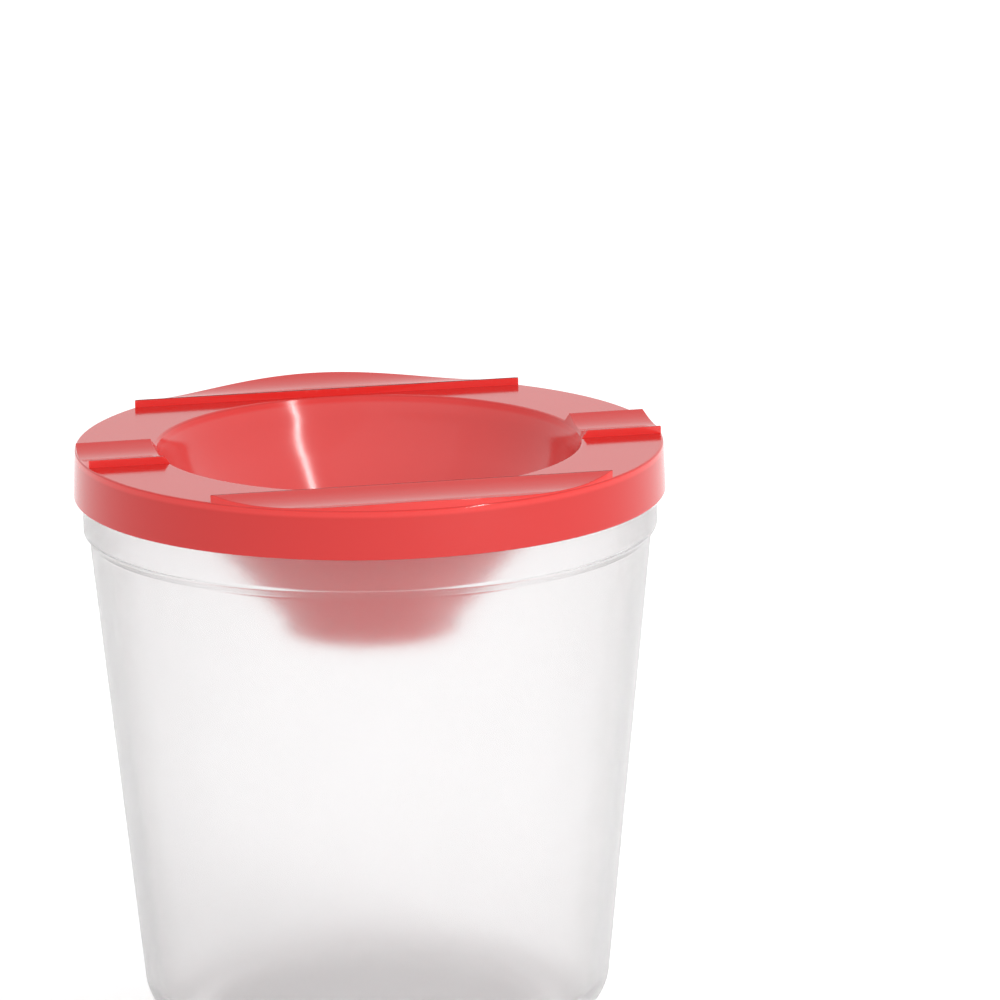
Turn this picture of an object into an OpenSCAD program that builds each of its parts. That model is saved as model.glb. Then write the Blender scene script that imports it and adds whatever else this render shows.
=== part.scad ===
// Brush washer: a tapered pot and a push-on lid with a funnel and four brush rests.
// Millimetres. The origin is the centre of the base, +Z is up, and the rests run along X.

/* [Whole] */
// Outer radius of the lid at its top edge
lid_r = 45; // [44:0.5:48]
// Height from the base to the flat top of the lid
top_h = 90; // [80:1:120]
// Radial gap between the collar and the skirt that slips over it
fit_gap = 0.25; // [0.15:0.05:0.4]

/* [Pot] */
// Thickness of the pot's wall
pot_wall = 1.2; // [0.8:0.1:1.6]
// Lean of the tapered wall from upright, in degrees
pot_taper = 5.8; // [3:0.1:8]
// Height of the straight collar, from the rim down
collar_h = 8.6; // [7:0.2:11]
// How far the wall steps in below the collar
collar_step = 0.9; // [0.8:0.1:1.4]
// Radius of the round corner at the base
corner_r = 7; // [5:0.5:10]
// Radius of the recess under the base
recess_r = 25; // [15:1:26]
// Depth of the recess under the base
recess_depth = 0.5; // [0.3:0.1:0.8]

/* [Lid] */
// Thickness of the flat top
deck_t = 1.2; // [1:0.1:1.6]
// Height of the skirt, from the flat top down
skirt_h = 7.5; // [6.5:0.5:8]
// Thickness of the skirt where it slips over the collar
skirt_wall = 1.1; // [0.9:0.1:1.4]
// How much wider the skirt is at its lower edge
skirt_flare = 0.3; // [0:0.1:0.5]
// Depth below the flat top at which the pot's rim seats
seat_depth = 3.8; // [3:0.2:4.4]
// How far the seat reaches inwards from the skirt's inner face
seat_w = 1; // [0.8:0.1:1.2]

/* [Funnel] */
// Radius of the mouth, where its round lip ends
mouth_r = 32.4; // [32:0.1:32.5]
// Depth of the funnel below the flat top
funnel_depth = 28.8; // [24:0.2:32]
// Thickness of the funnel's wall
funnel_wall = 1.2; // [0.9:0.1:1.5]
// Steepest slope, a little below the lip, in degrees
steep_slope = 70; // [66:1:74]
// Slope of the plain cone below, in degrees
cone_slope = 50; // [48:1:54]
// Height of the straight outlet at the bottom
outlet_h = 1.5; // [1:0.5:3]

/* [Brush rests] */
// Width of each trough, from crest to crest
rest_w = 12.25; // [11.5:0.25:12.25]
// Height of the crests above the flat top
rest_h = 1.15; // [1:0.05:1.2]
// Height of the trough's lowest line above the flat top
rest_floor = 0.15; // [0.1:0.05:0.3]

/* [Hidden] */
$fn = 180;
arc_step = 5;
slack = 0.5;

// Pot
rim_z = top_h - seat_depth;
skirt_inner_r = lid_r + skirt_flare - skirt_wall;
collar_r = skirt_inner_r - fit_gap;
collar_z = rim_z - collar_h;
body_top_r = collar_r - collar_step;
step_drop = 1.4 * collar_step;
step_fillet_end = 120;
body_top_z = collar_z - step_drop;
base_t = pot_wall + recess_depth;
rim_round = 0.3;

// Lid
seat_r = skirt_inner_r - seat_w;
skirt_round = 0.25;
edge_round = 0.35;

// Funnel
lip_r = 0.6;
lip_slope = 60;
upper_arc_r = 17;
lower_arc_r = 18.3;

// Brush rests
rest_side = rest_w / 2;
rest_root = deck_t / 2;
crest_land = 0.25;
groove_side = rest_side - crest_land;
groove_depth = rest_h - rest_floor;
rest_arc_r = (groove_side ^ 2 + groove_depth ^ 2) / (2 * groove_depth);
long_rest_y = lid_r - rest_side;
rest_inset = 0.1;
rest_end_slope = 52;
rest_setback = 0.02;
rest_inner_r = mouth_r + rest_setback;

// Points along an arc from angle a to angle b
function arc(centre, r, a, b) =
    let (count = ceil(abs(b - a) / arc_step))
    [for (i = [0 : count]) centre + r * [cos(a + (b - a) * i / count), sin(a + (b - a) * i / count)]];

// Points at [radius, height, slope] after start, where a wall going down and inwards bends from
// start's own slope to slope b. A positive bend radius steepens it and a negative one flattens it.
function bend(start, r, b) =
    let (a = start[2], count = ceil(abs(b - a) / arc_step))
    [for (i = [1 : count])
        let (s = a + (b - a) * i / count)
        [start[0] - r * (sin(s) - sin(a)), start[1] - r * (cos(a) - cos(s)), s]];

// The last point of a list
function last(points) = points[len(points) - 1];

// A point moved along a sloping wall's normal, into the plastic
function through(p, t) = [p[0] + t * sin(p[2]), p[1] - t * cos(p[2])];

// The funnel's inside, from the flat top down: round lip, steepening wall, flattening wall, cone
lip_top = [mouth_r + lip_r * sin(lip_slope), 0, 0];
lip = bend(lip_top, lip_r, lip_slope);
upper = bend(last(lip), upper_arc_r, steep_slope);
lower = bend(last(upper), -lower_arc_r, cone_slope);
cone_top = last(lower);
outlet_z = outlet_h - funnel_depth;
outlet_r = cone_top[0] - (cone_top[1] - outlet_z) / tan(cone_slope);

// The funnel's outside, from the outlet up to where its slope would meet the flat top's underside
shell = [for (p = concat([last(lip)], upper, lower)) through(p, funnel_wall)];
shell_wall = [for (i = [len(shell) - 1 : -1 : 0]) if (shell[i][1] < -deck_t) shell[i]];
shell_top_r = shell[0][0] - (deck_t + shell[0][1]) / tan(lip_slope);

// Half section of a face of the pot's wall, solid to the axis. inset is how far inside the outer
// face it lies, and rim_edge is -1 where the rim's round takes it inwards and 1 where outwards.
module pot_section(inset, floor_z, top_z, rim_edge) {
    round_r = corner_r - inset;
    straight_r = collar_r - inset;
    wall_r = body_top_r - inset / cos(pot_taper);
    base_r = wall_r - (body_top_z - floor_z) * tan(pot_taper);
    corner = [base_r - round_r * (1 - sin(pot_taper)) / cos(pot_taper), floor_z + round_r];
    polygon(concat(
        [[0, floor_z]],
        arc(corner, round_r, -90, -pot_taper),
        arc([straight_r, body_top_z], straight_r - wall_r, 180, step_fillet_end),
        [[straight_r, collar_z], [straight_r, rim_z - rim_round]],
        [[straight_r + rim_edge * (rim_round + top_z - rim_z), top_z], [0, top_z]]
    ));
}

module pot() {
    color([0.93, 0.93, 0.92, 0.5])
    difference() {
        rotate_extrude() pot_section(0, 0, rim_z, -1);
        rotate_extrude() pot_section(pot_wall, base_t, rim_z + slack, 1);
        translate([0, 0, -slack]) cylinder(r = recess_r, h = slack + recess_depth);
    }
}

// Half section of the lid without its rests: flat top, skirt, seat and funnel
module lid_section() {
    polygon(concat(
        [for (p = concat([lip_top], lip, upper, lower)) [p[0], p[1]]],
        [[outlet_r, outlet_z], [outlet_r, -funnel_depth], [outlet_r + funnel_wall, -funnel_depth]],
        [through([outlet_r, outlet_z, 90], funnel_wall)],
        shell_wall,
        [[shell_top_r, -deck_t], [seat_r, -deck_t]],
        [[seat_r, -seat_depth], [skirt_inner_r, -seat_depth]],
        [[skirt_inner_r, skirt_round - skirt_h], [skirt_inner_r + skirt_round, -skirt_h]],
        arc([lid_r + skirt_flare - skirt_round, skirt_round - skirt_h], skirt_round, -90, 0),
        arc([lid_r - edge_round, -edge_round], edge_round, 0, 90)
    ));
}

// A straight trough along X with a crest on each side, its floor line at y = 0.
// extra widens it past the crest on the +Y side, where the lid's edge cuts it off.
module trough(extra) {
    translate([-lid_r, 0, 0]) rotate([90, 0, 90]) linear_extrude(2 * lid_r) difference() {
        translate([-rest_side, -rest_root]) square([rest_w + extra, rest_h + rest_root]);
        translate([0, rest_floor + rest_arc_r]) circle(rest_arc_r);
    }
}

// The two short rests at the ends of X. Their inner ends rise from the mouth's edge and then slope back.
module side_rests() {
    end_h = rest_h + slack;
    difference() {
        trough(0);
        translate([0, 0, -deck_t]) cylinder(r = rest_inner_r, h = deck_t);
        cylinder(r1 = rest_inner_r, r2 = rest_inner_r + end_h / tan(rest_end_slope), h = end_h);
    }
}

// The two long rests beside the mouth
module long_rests() {
    for (turn = [0, 180]) rotate(turn) translate([0, long_rest_y, 0]) trough(slack);
}

module lid() {
    color([0.86, 0.16, 0.13, 0.8])
    translate([0, 0, top_h]) {
        rotate_extrude() lid_section();
        intersection() {
            translate([0, 0, -rest_root]) cylinder(r = lid_r - rest_inset, h = rest_root + rest_h);
            union() {
                side_rests();
                long_rests();
            }
        }
    }
}

pot();
lid();
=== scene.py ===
import math

import bmesh
import bpy
from mathutils import Matrix, Vector


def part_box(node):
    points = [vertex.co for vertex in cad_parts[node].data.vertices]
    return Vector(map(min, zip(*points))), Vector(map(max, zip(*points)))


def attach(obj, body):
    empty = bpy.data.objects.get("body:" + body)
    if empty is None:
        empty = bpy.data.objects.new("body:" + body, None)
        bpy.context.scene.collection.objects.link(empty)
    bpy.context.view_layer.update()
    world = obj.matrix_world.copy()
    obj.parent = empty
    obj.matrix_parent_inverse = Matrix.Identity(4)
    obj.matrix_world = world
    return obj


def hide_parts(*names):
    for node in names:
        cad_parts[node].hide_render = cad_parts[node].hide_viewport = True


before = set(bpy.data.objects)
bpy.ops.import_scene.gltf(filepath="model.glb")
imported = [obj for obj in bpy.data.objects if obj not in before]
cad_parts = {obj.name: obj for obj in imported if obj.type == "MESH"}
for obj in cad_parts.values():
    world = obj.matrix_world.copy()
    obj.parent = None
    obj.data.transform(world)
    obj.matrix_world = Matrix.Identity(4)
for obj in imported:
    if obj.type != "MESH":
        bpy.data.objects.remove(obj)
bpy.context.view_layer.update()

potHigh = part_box("pot")[1] * 1000  # all shapes below are in millimetres
lidLow, lidHigh = (corner * 1000 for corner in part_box("lid"))
print("frame loaded, the lid reaches from", round(lidLow.z, 2), "to", round(lidHigh.z, 2), "mm")


# Shapes turned from an outline

curveError = 0.004  # how far a chord may lie inside its arc
mergeDistance = 1e-4  # points closer than this become one


def roundedLine(corners, closed=False):
    # each corner is (radius from the axis, height, radius of its rounding)
    points = []
    for i, (r, z, rounding) in enumerate(corners):
        here = Vector((r, z))
        atEnd = not closed and i in (0, len(corners) - 1)
        if rounding == 0 or atEnd:
            points.append(here)
            continue
        back = (Vector(corners[i - 1][:2]) - here).normalized()
        ahead = (Vector(corners[(i + 1) % len(corners)][:2]) - here).normalized()
        turn = math.pi - back.angle(ahead)
        centre = here + (back + ahead).normalized() * rounding / math.cos(turn / 2)
        spoke = here + back * rounding * math.tan(turn / 2) - centre
        way = math.copysign(turn, ahead.cross(back))
        steps = math.ceil(turn / (2 * math.acos(1 - curveError / rounding)))
        points += [centre + Matrix.Rotation(way * k / steps, 2) @ spoke for k in range(steps + 1)]
    return points


def spun(points, steps, closed):
    # the outline turned once round the Z axis
    bm = bmesh.new()
    ring = [bm.verts.new((p.x, 0, p.y)) for p in points]
    pairs = list(zip(ring, ring[1:])) + ([(ring[-1], ring[0])] if closed else [])
    edges = [bm.edges.new(pair) for pair in pairs]
    bmesh.ops.spin(bm, geom=ring + edges, cent=(0, 0, 0), axis=(0, 0, 1), angle=math.tau,
                   steps=steps, use_merge=True)
    bmesh.ops.remove_doubles(bm, verts=bm.verts, dist=mergeDistance)
    bmesh.ops.recalc_face_normals(bm, faces=bm.faces)
    return bm


def finishPiece(bm, name, node, sharpAngle=50):
    # smooth faces, sharp edges where the surface turns hard, and millimetres to metres
    bmesh.ops.recalc_face_normals(bm, faces=bm.faces)
    for face in bm.faces:
        face.smooth = True
    for edge in bm.edges:
        edge.smooth = edge.calc_face_angle(0) < math.radians(sharpAngle)
    bmesh.ops.scale(bm, vec=(0.001, 0.001, 0.001), verts=bm.verts)
    mesh = bpy.data.meshes.new(name)
    bm.to_mesh(mesh)
    bm.free()
    piece = bpy.data.objects.new(name, mesh)
    bpy.context.scene.collection.objects.link(piece)
    shading = piece.modifiers.new("Flat faces stay flat", "WEIGHTED_NORMAL")
    shading.mode = "FACE_AREA"
    shading.keep_sharp = True
    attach(piece, node)
    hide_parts(node)
    print(name, len(mesh.vertices), "vertices", len(mesh.polygons), "faces")
    return piece


# The pot: a tapered wall, a step out to the straight collar, and a recess under the base

pot = {
    "collarRadius": potHigh.x,
    "rimHeight": potHigh.z,
    "wall": 1.2,
    "lean": math.radians(5.8),  # of the wall from upright
    "collarDepth": 8.9,  # from the rim to the collar's lower edge
    "step": 0.9,  # how far the wall goes in below the collar
    "stepDrop": 1.25,
    "edgeRound": 0.45,  # at the collar's lower edge
    "stepRound": 1.1,  # where the wall begins
    "baseRound": 7.0,
    "recessRadius": 25.0,
    "recessDepth": 0.5,
    "recessRound": 0.2,
    "rimRound": 0.35,
    "turns": 256,  # steps round the axis
}


def potOutline():
    wall, collar = pot["wall"], pot["collarRadius"]
    floor = wall + pot["recessDepth"]
    edgeZ = pot["rimHeight"] - pot["collarDepth"]
    wallZ = edgeZ - pot["stepDrop"]
    wallR = collar - pot["step"]
    innerR = wallR - wall / math.cos(pot["lean"])
    taper = math.tan(pot["lean"])
    return [
        (0, pot["recessDepth"], 0),
        (pot["recessRadius"], pot["recessDepth"], pot["recessRound"]),
        (pot["recessRadius"], 0, pot["recessRound"]),
        (wallR - wallZ * taper, 0, pot["baseRound"]),
        (wallR, wallZ, pot["stepRound"]),
        (collar, edgeZ, pot["edgeRound"]),
        (collar, pot["rimHeight"], pot["rimRound"]),
        (collar - wall, pot["rimHeight"], pot["rimRound"]),
        (collar - wall, edgeZ, pot["stepRound"]),
        (innerR, wallZ, pot["edgeRound"]),
        (innerR - (wallZ - floor) * taper, floor, pot["baseRound"] - wall),
        (0, floor, 0),
    ]


def makePot():
    bm = spun(roundedLine(potOutline()), pot["turns"], closed=False)
    return finishPiece(bm, "water_pot", "pot")


# The lid: a flat ring with a skirt, a funnel and four brush rests, moulded in one

lid = {
    "topRadius": 45.0,
    "skirtRadius": lidHigh.x,
    "skirtWall": 1.1,
    "skirtHeight": 7.5,
    "topWall": 1.2,
    "seatDepth": 3.8,  # of the ledge that comes to rest on the pot's rim
    "seatWidth": 1.0,
    "edgeRound": 0.35,
    "insideRound": 0.3,  # under the flat top
    "seatRound": 0.15,
    "skirtRound": 0.25,  # at the skirt's lower edge
    "turns": 288,
}
funnel = {
    "lip": (32.573, 0, 0.6),  # corners of its inside: radius, height over the flat top, rounding
    "neck": (31.656, -1.588, 17.0),
    "shoulder": (30.044, -6.018, 18.3),
    "lipSlope": math.radians(60),  # between lip and neck
    "steepSlope": math.radians(70),  # between neck and shoulder
    "coneSlope": math.radians(50),  # below
    "outletRadius": 12.186,
    "outletHeight": 1.5,
    "outletRound": 1.0,  # where the cone's inside meets the outlet
    "outsideRound": 1.5,  # the same outside
    "endRound": 0.3,
    "wall": 1.2,
}
rest = {
    "width": 12.25,
    "height": 1.15,  # of the crests over the flat top
    "floor": 0.15,  # of the trough's lowest line
    "land": 0.25,  # width of a crest's flat
    "strips": 15,  # across a trough
    "crestSteps": (0, 0.035, 0.077, 0.14),  # inwards from the outline, the last is the rounding's radius
    "rimRadius": 44.9,  # where the lid's edge cuts the rests off
    "mouthRadius": 32.47,  # where the short rests' inner ends begin
    "endFoot": 0.2,  # how far below the flat top they begin
    "endSlope": math.radians(57.7),
    "endLength": 4.0,  # of the stretch that leans back
    "edgeDrop": 0.26,  # how far down the flat top's round edges a rest can start
    "snap": 0.005,  # points closer than this to a cut are taken to be on it
}
restSide = rest["width"] / 2
longMiddle = lid["topRadius"] - restSide  # Y of a long rest's middle line
flatTopZ = lidHigh.z - rest["height"]
print("the lid's flat top is at", round(flatTopZ, 3), "mm")


def outsideOf(corner, slopeAbove, slopeBelow, flattens):
    # the corner of the funnel's outside, one wall away from a corner of its inside.
    # flattens is 1 where the funnel gets flatter downwards, and -1 where it gets steeper
    r, z, rounding = corner
    middle = (slopeAbove + slopeBelow) / 2
    away = funnel["wall"] / math.cos((slopeAbove - slopeBelow) / 2)
    outerRounding = rounding + flattens * funnel["wall"]
    return (r + away * math.sin(middle), z - away * math.cos(middle), outerRounding)


def lidOutline():
    skirt, deck = lid["skirtRadius"], -lid["topWall"]
    skirtInside = skirt - lid["skirtWall"]
    seat = skirtInside - lid["seatWidth"]
    bottom = lidLow.z - flatTopZ
    coneZ = bottom + funnel["outletHeight"]
    outlet, outside = funnel["outletRadius"], funnel["outletRadius"] + funnel["wall"]
    inner, seatEdge, skirtEdge = lid["insideRound"], lid["seatRound"], lid["skirtRound"]
    neck = outsideOf(funnel["neck"], funnel["lipSlope"], funnel["steepSlope"], -1)
    shoulder = outsideOf(funnel["shoulder"], funnel["steepSlope"], funnel["coneSlope"], 1)
    return [
        funnel["lip"],
        funnel["neck"],
        funnel["shoulder"],
        (outlet, coneZ, funnel["outletRound"]),
        (outlet, bottom, funnel["endRound"]),
        (outside, bottom, funnel["endRound"]),
        (outside, coneZ, funnel["outsideRound"]),
        shoulder,
        neck,
        (neck[0] + (deck - neck[1]) / math.tan(funnel["lipSlope"]), deck, inner),
        (seat, deck, inner),
        (seat, -lid["seatDepth"], seatEdge),
        (skirtInside, -lid["seatDepth"], seatEdge),
        (skirtInside, -lid["skirtHeight"], skirtEdge),
        (skirt, -lid["skirtHeight"], skirtEdge),
        (lid["topRadius"], 0, lid["edgeRound"]),
    ]


def radiusOf(point):
    return math.hypot(point.x, point.y)


def troughHeight(across):
    # over the flat top, at a distance from the trough's middle line
    side = restSide - rest["land"]
    depth = rest["height"] - rest["floor"]
    arcRadius = (side ** 2 + depth ** 2) / (2 * depth)
    if abs(across) >= side:
        return rest["height"]
    return rest["floor"] + arcRadius - math.sqrt(arcRadius ** 2 - across ** 2)


def crestDrop(inwards):
    # how far a crest's round edge has come down, at a distance from its outline
    rounding = rest["crestSteps"][-1]
    return rounding - math.sqrt(rounding ** 2 - (rounding - inwards) ** 2)


def vertsOf(faces):
    # in a fixed order, as a set's own order changes from run to run, and the cut mesh with it
    return list(dict.fromkeys(vert for face in faces for vert in face.verts))


def cutAcross(bm, faces, y):
    # cuts some faces along a line of constant Y, and gives them all back
    edges = dict.fromkeys(edge for face in faces for edge in face.edges)
    done = bmesh.ops.bisect_plane(bm, geom=[*faces, *edges, *vertsOf(faces)], dist=rest["snap"],
                                  plane_co=(0, y, 0), plane_no=(0, 1, 0))
    return [part for part in done["geom"] if isinstance(part, bmesh.types.BMFace)]


def flatTopFaces(bm):
    # with the round edges beside them, as far as a rest can reach
    return [face for face in bm.faces if face.normal.z > 0 and all(
        vert.co.z > -rest["edgeDrop"] and radiusOf(vert.co) < rest["rimRadius"] for vert in face.verts)]


def slideBack(verts):
    # a short rest's inner end leans back from the mouth, the more the higher it is
    for vert in verts:
        rise = troughHeight(vert.co.y) + rest["endFoot"]
        back = rise / math.tan(rest["endSlope"])
        fade = 1 - (radiusOf(vert.co) - rest["mouthRadius"]) / rest["endLength"]
        vert.co.x += math.copysign(back * max(fade, 0), vert.co.x)


def raiseRest(bm, isHere, middle):
    # lifts the faces of the flat top that isHere picks into a trough along X, its middle line at Y
    side = restSide - rest["land"]
    lines = [middle - side + 2 * side * k / rest["strips"] for k in range(rest["strips"] + 1)]
    ground = [face for face in flatTopFaces(bm) if isHere(face.calc_center_median())]
    for y in lines:
        ground = cutAcross(bm, ground, y)
    whole = bmesh.ops.dissolve_faces(bm, faces=ground)["region"]
    raised = bmesh.ops.extrude_face_region(bm, geom=whole)["geom"]
    bmesh.ops.delete(bm, geom=whole, context="FACES_ONLY")
    top = [part for part in raised if isinstance(part, bmesh.types.BMFace)]
    for vert in vertsOf(top):
        vert.co.z = 0
    rings = []
    for inwards, further in zip(rest["crestSteps"], rest["crestSteps"][1:]):
        ring = bmesh.ops.inset_region(bm, faces=top, thickness=further - inwards,
                                      use_even_offset=False)
        topVerts = set(vertsOf(top))
        rings.append((inwards, [vert for vert in vertsOf(ring["faces"]) if vert not in topVerts]))
    inner = top
    for y in lines:
        inner = cutAcross(bm, inner, y)
    rings.append((rest["crestSteps"][-1], vertsOf(inner)))
    for inwards, verts in rings:
        for vert in verts:
            vert.co.z = troughHeight(vert.co.y - middle) - crestDrop(inwards)
        if middle == 0:
            slideBack(verts)


def makeLid():
    bm = spun(roundedLine(lidOutline(), closed=True), lid["turns"], closed=True)
    inner = longMiddle - restSide
    for y in (-restSide, restSide, -inner, inner):
        cutAcross(bm, flatTopFaces(bm), y)
    raiseRest(bm, lambda p: p.y > inner, longMiddle)
    raiseRest(bm, lambda p: p.y < -inner, -longMiddle)
    raiseRest(bm, lambda p: abs(p.y) < restSide and p.x > 0, 0)
    raiseRest(bm, lambda p: abs(p.y) < restSide and p.x < 0, 0)
    bmesh.ops.translate(bm, vec=(0, 0, flatTopZ), verts=bm.verts)
    return finishPiece(bm, "funnel_lid", "lid")


# Materials

class Wire:
    # a node's output, and a sum or product of wires adds its own Math node
    def __init__(self, finish, socket):
        self.finish = finish
        self.socket = socket

    def maths(self, operation, *values):
        return self.finish.node("ShaderNodeMath", {"operation": operation}, values)

    def __add__(self, other):
        return self.maths("ADD", self, other)

    def __sub__(self, other):
        return self.maths("SUBTRACT", self, other)

    def __rsub__(self, other):
        return self.maths("SUBTRACT", other, self)

    def __mul__(self, other):
        return self.maths("MULTIPLY", self, other)

    __radd__ = __add__
    __rmul__ = __mul__


class Finish:
    # one material or world, and the nodes that make it
    def __init__(self, block):
        self.block = block
        block.use_nodes = True
        self.tree = block.node_tree
        self.tree.nodes.clear()

    def node(self, kind, settings=None, sockets=(), output=0):
        # sockets are given by name or in their order
        made = self.tree.nodes.new(kind)
        for name, value in (settings or {}).items():
            setattr(made, name, value)
        pairs = sockets.items() if isinstance(sockets, dict) else enumerate(sockets)
        for key, value in pairs:
            if isinstance(value, Wire):
                self.tree.links.new(value.socket, made.inputs[key])
            elif isinstance(value, tuple) and made.inputs[key].type == "RGBA":
                made.inputs[key].default_value = (*value, 1)
            else:
                made.inputs[key].default_value = value
        return Wire(self, made.outputs[output]) if made.outputs else None

    def output(self, surface, kind="ShaderNodeOutputMaterial"):
        self.node(kind, None, {"Surface": surface})
        return self.block

    def place(self):
        return self.node("ShaderNodeTexCoord", output="Object")

    def scaled(self, vector, x, y, z):
        return self.node("ShaderNodeMapping", None, {"Vector": vector, "Scale": (x, y, z)})

    def noise(self, vector, scale, detail=3):
        return self.node("ShaderNodeTexNoise", None,
                         {"Vector": vector, "Scale": scale, "Detail": detail})

    def ramp(self, value, low, high):
        # 0 below low, 1 above high, smooth between
        return self.node("ShaderNodeMapRange", {"interpolation_type": "SMOOTHSTEP"},
                         {"Value": value, "From Min": low, "From Max": high})

    def blend(self, share, first, second):
        # two colours, the second where share is 1
        return self.node("ShaderNodeMix", {"data_type": "RGBA"}, {0: share, 6: first, 7: second},
                         output=2)

    def bump(self, height, depth):
        # depth in millimetres
        return self.node("ShaderNodeBump", None, {"Height": height, "Distance": depth * 0.001})

    def seen(self):
        # 1 for rays from the eye, straight, mirrored or through the pot, and 0 for light that falls
        rays = [self.node("ShaderNodeLightPath", output=name)
                for name in ("Is Camera Ray", "Is Glossy Ray", "Is Transmission Ray")]
        return rays[0] + rays[1] + rays[2]


frosted = {
    "colour": (0.925, 0.92, 0.922),
    "haze": (0.97, 0.965, 0.97),
    "hazeShare": 0.055,
    "hazeRoughness": 0.5,
    "roughness": 0.24,
    "index": 1.35,
    "grainSize": 0.35,  # of the frosting, in millimetres
    "grainDepth": 0.002,
    "cloudScale": 45,
    "cloudRoughness": 0.06,  # how much clouds and flow lines change the roughness
    "cloudHaze": 0.03,
    "flowScale": (260, 260, 14),  # upright lines of the moulding
    "flowRoughness": 0.05,
    "flowHeight": 1.5,  # against the grain
}


def frostedPlastic():
    finish = Finish(bpy.data.materials.new("frosted plastic"))
    place = finish.place()
    grain = finish.noise(place, 1000 / frosted["grainSize"], 2)
    clouds = finish.noise(place, frosted["cloudScale"])
    flow = finish.noise(finish.scaled(place, *frosted["flowScale"]), 1, 2)
    uneven = (clouds - 0.5) * frosted["cloudRoughness"] + (flow - 0.5) * frosted["flowRoughness"]
    roughness = frosted["roughness"] + uneven
    height = grain + flow * frosted["flowHeight"]
    skin = finish.bump(height, frosted["grainDepth"])
    clear = finish.node("ShaderNodeBsdfPrincipled", None, {
        "Base Color": frosted["colour"], "Roughness": roughness, "IOR": frosted["index"],
        "Transmission Weight": 1.0, "Normal": skin})
    haze = finish.node("ShaderNodeBsdfPrincipled", None, {
        "Base Color": frosted["haze"], "Roughness": frosted["hazeRoughness"],
        "IOR": frosted["index"], "Normal": skin})
    share = frosted["hazeShare"] + (clouds - 0.5) * frosted["cloudHaze"]
    both = finish.node("ShaderNodeMixShader", None, (share, clear, haze))
    return finish.output(both)


# one red plastic in four colours by place: the differences between them are painted light and shade
red = {
    "topColour": (0.62, 0.018, 0.015),
    "paintedEdgeGlow": (0.82, 0.036, 0.031),  # upright faces of the rests, painted lighter: a painted glow where light leaves the plastic
    "skirtColour": (0.67, 0.018, 0.015),
    # the funnel's walls get a lighter pink: painted light, for their sheen and the light coming through
    # them
    "funnelPaintedLight": (0.72, 0.068, 0.064),
    "roughness": 0.13,
    "index": 1.5,
    "glow": 0.15,  # share of light that passes under the surface
    "glowTint": (1, 0.25, 0.2),
    "glowReach": 0.0015,
    "edgeDepth": (-1.3, -0.7),  # against the flat top, in mm, between wall colours and top colours
    "uprightFrom": (0.25, 0.7),  # upward part of the normal, between the painted glow of the upright faces and the top colour
    "skirtFrom": (34, 42),  # distance from the axis in mm, between the funnel's painted light and the skirt colour
    "cloudScale": 60,
    "cloudRoughness": 0.05,
    "dustScale": 900,
    "rubScale": (30, 900, 900),  # fine lines along the brushes
    "rubRoughness": 0.04,
    "skinDepth": 0.0006,
}


def redPlastic():
    finish = Finish(bpy.data.materials.new("glossy red plastic"))
    place = finish.place()
    height = finish.node("ShaderNodeSeparateXYZ", None, (place,), output=2) * 1000 - flatTopZ
    clouds = finish.noise(place, red["cloudScale"])
    dust = finish.noise(place, red["dustScale"], 2)
    rub = finish.noise(finish.scaled(place, *red["rubScale"]), 1, 2)
    normal = finish.node("ShaderNodeTexCoord", output="Normal")
    facing = finish.node("ShaderNodeSeparateXYZ", None, (normal,), output=2)
    # painted glow: the upright faces get a lighter red than the flat top, for light leaving the plastic
    upright = 1 - finish.ramp(facing, *red["uprightFrom"])
    top = finish.blend(upright, red["topColour"], red["paintedEdgeGlow"])
    flatPlace = finish.scaled(place, 1, 1, 0)
    radius = finish.node("ShaderNodeVectorMath", {"operation": "LENGTH"}, (flatPlace,), output=1)
    # painted light: nearer the axis the walls turn from the skirt's red to the funnel's lighter pink
    outer = finish.ramp(radius * 1000, *red["skirtFrom"])
    walls = finish.blend(outer, red["funnelPaintedLight"], red["skirtColour"])
    # painted light and shade: below the flat top the walls' colours, above it the top's colours
    below = 1 - finish.ramp(height, *red["edgeDepth"])
    colour = finish.blend(below, top, walls)
    uneven = (clouds - 0.5) * red["cloudRoughness"] + (rub - 0.5) * red["rubRoughness"]
    roughness = red["roughness"] + uneven
    skin = finish.bump(dust + rub, red["skinDepth"])
    surface = finish.node("ShaderNodeBsdfPrincipled", None, {
        "Base Color": colour, "Roughness": roughness, "IOR": red["index"],
        "Subsurface Weight": red["glow"], "Subsurface Radius": red["glowTint"],
        "Subsurface Scale": red["glowReach"], "Normal": skin})
    return finish.output(surface)


# Floor, light and camera

studio = {
    "floorSize": 6.0,
    "floorColour": (0.9, 0.9, 0.9),
    "floorGlow": 0.4,  # for the eye only, so that the unshaded floor is white
    "dayLight": 0.95,
    "lampAim": (0, 0, 0.06),
    "lamps": {  # azimuth, elevation and roll in degrees, distance and size in metres, watts
        "strip": {"azimuth": 36, "elevation": 36, "roll": 20, "distance": 0.9, "size": (0.028, 1.1),
                  "power": 3.6},
        "cloth": {"azimuth": -40, "elevation": 58, "roll": 0, "distance": 1.6, "size": (1.6, 1.6),
                  "power": 1.4},
    },
}
photoView = {
    "place": (-0.23444, -1.18079, 0.37058),
    "aim": (0.01946, -0.00418, 0.08059),
    "lean": math.radians(0.706),  # the picture's upright leans to the right
    "lens": 291,
}


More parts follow.
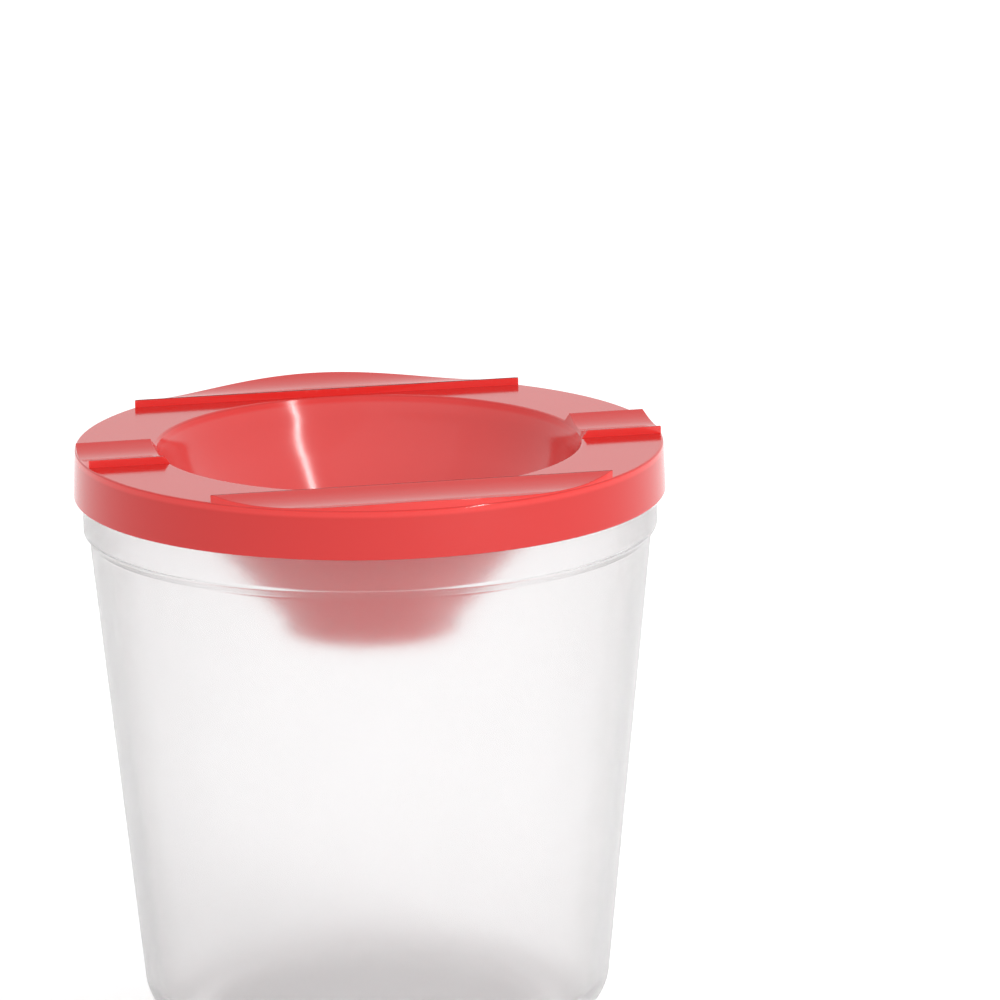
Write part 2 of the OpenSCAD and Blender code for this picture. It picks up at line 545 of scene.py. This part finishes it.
def makeFloor():
    bm = bmesh.new()
    bmesh.ops.create_grid(bm, x_segments=1, y_segments=1, size=studio["floorSize"] / 2)
    mesh = bpy.data.meshes.new("floor")
    bm.to_mesh(mesh)
    bm.free()
    floor = bpy.data.objects.new("floor", mesh)
    bpy.context.scene.collection.objects.link(floor)
    finish = Finish(bpy.data.materials.new("white floor"))
    paint = finish.node("ShaderNodeBsdfDiffuse", None, {"Color": studio["floorColour"]})
    glow = finish.node("ShaderNodeEmission", None, {"Strength": studio["floorGlow"]})
    dark = finish.node("ShaderNodeEmission", None, {"Strength": 0.0})
    shown = finish.node("ShaderNodeMixShader", None, (finish.seen(), dark, glow))
    finish.output(finish.node("ShaderNodeAddShader", None, (paint, shown)))
    mesh.materials.append(finish.block)


def makeWorld():
    world = bpy.data.worlds.new("studio")
    bpy.context.scene.world = world
    finish = Finish(world)
    light = finish.node("ShaderNodeBackground", None, {"Strength": studio["dayLight"]})
    white = finish.node("ShaderNodeBackground", None, {"Color": (1, 1, 1), "Strength": 1.0})
    both = finish.node("ShaderNodeMixShader", None, (finish.seen(), light, white))
    finish.output(both, "ShaderNodeOutputWorld")


def makeLamps():
    centre = Vector(studio["lampAim"])
    for name, lamp in studio["lamps"].items():
        a, e = math.radians(lamp["azimuth"]), math.radians(lamp["elevation"])
        away = Vector((math.sin(a) * math.cos(e), -math.cos(a) * math.cos(e), math.sin(e)))
        data = bpy.data.lights.new(name, "AREA")
        data.shape = "RECTANGLE"
        data.size, data.size_y = lamp["size"]
        data.energy = lamp["power"]
        light = bpy.data.objects.new(name, data)
        light.location = centre + away * lamp["distance"]
        turn = (-away).to_track_quat("-Z", "Y").to_matrix()
        light.rotation_euler = (turn @ Matrix.Rotation(-math.radians(lamp["roll"]), 3, "Z")).to_euler()
        light.visible_camera = False
        bpy.context.scene.collection.objects.link(light)


def makeCamera():
    data = bpy.data.cameras.new("photo view")
    data.lens = photoView["lens"]
    camera = bpy.data.objects.new("photo view", data)
    camera.location = photoView["place"]
    look = Vector(photoView["aim"]) - camera.location
    turn = look.to_track_quat("-Z", "Y").to_matrix() @ Matrix.Rotation(-photoView["lean"], 3, "Z")
    camera.rotation_euler = turn.to_euler()
    bpy.context.scene.collection.objects.link(camera)
    bpy.context.scene.camera = camera


makePot().data.materials.append(frostedPlastic())
makeLid().data.materials.append(redPlastic())
makeFloor()
makeWorld()
makeLamps()
makeCamera()
bpy.context.scene.view_settings.view_transform = "Standard"
print("materials, lamps and camera set")
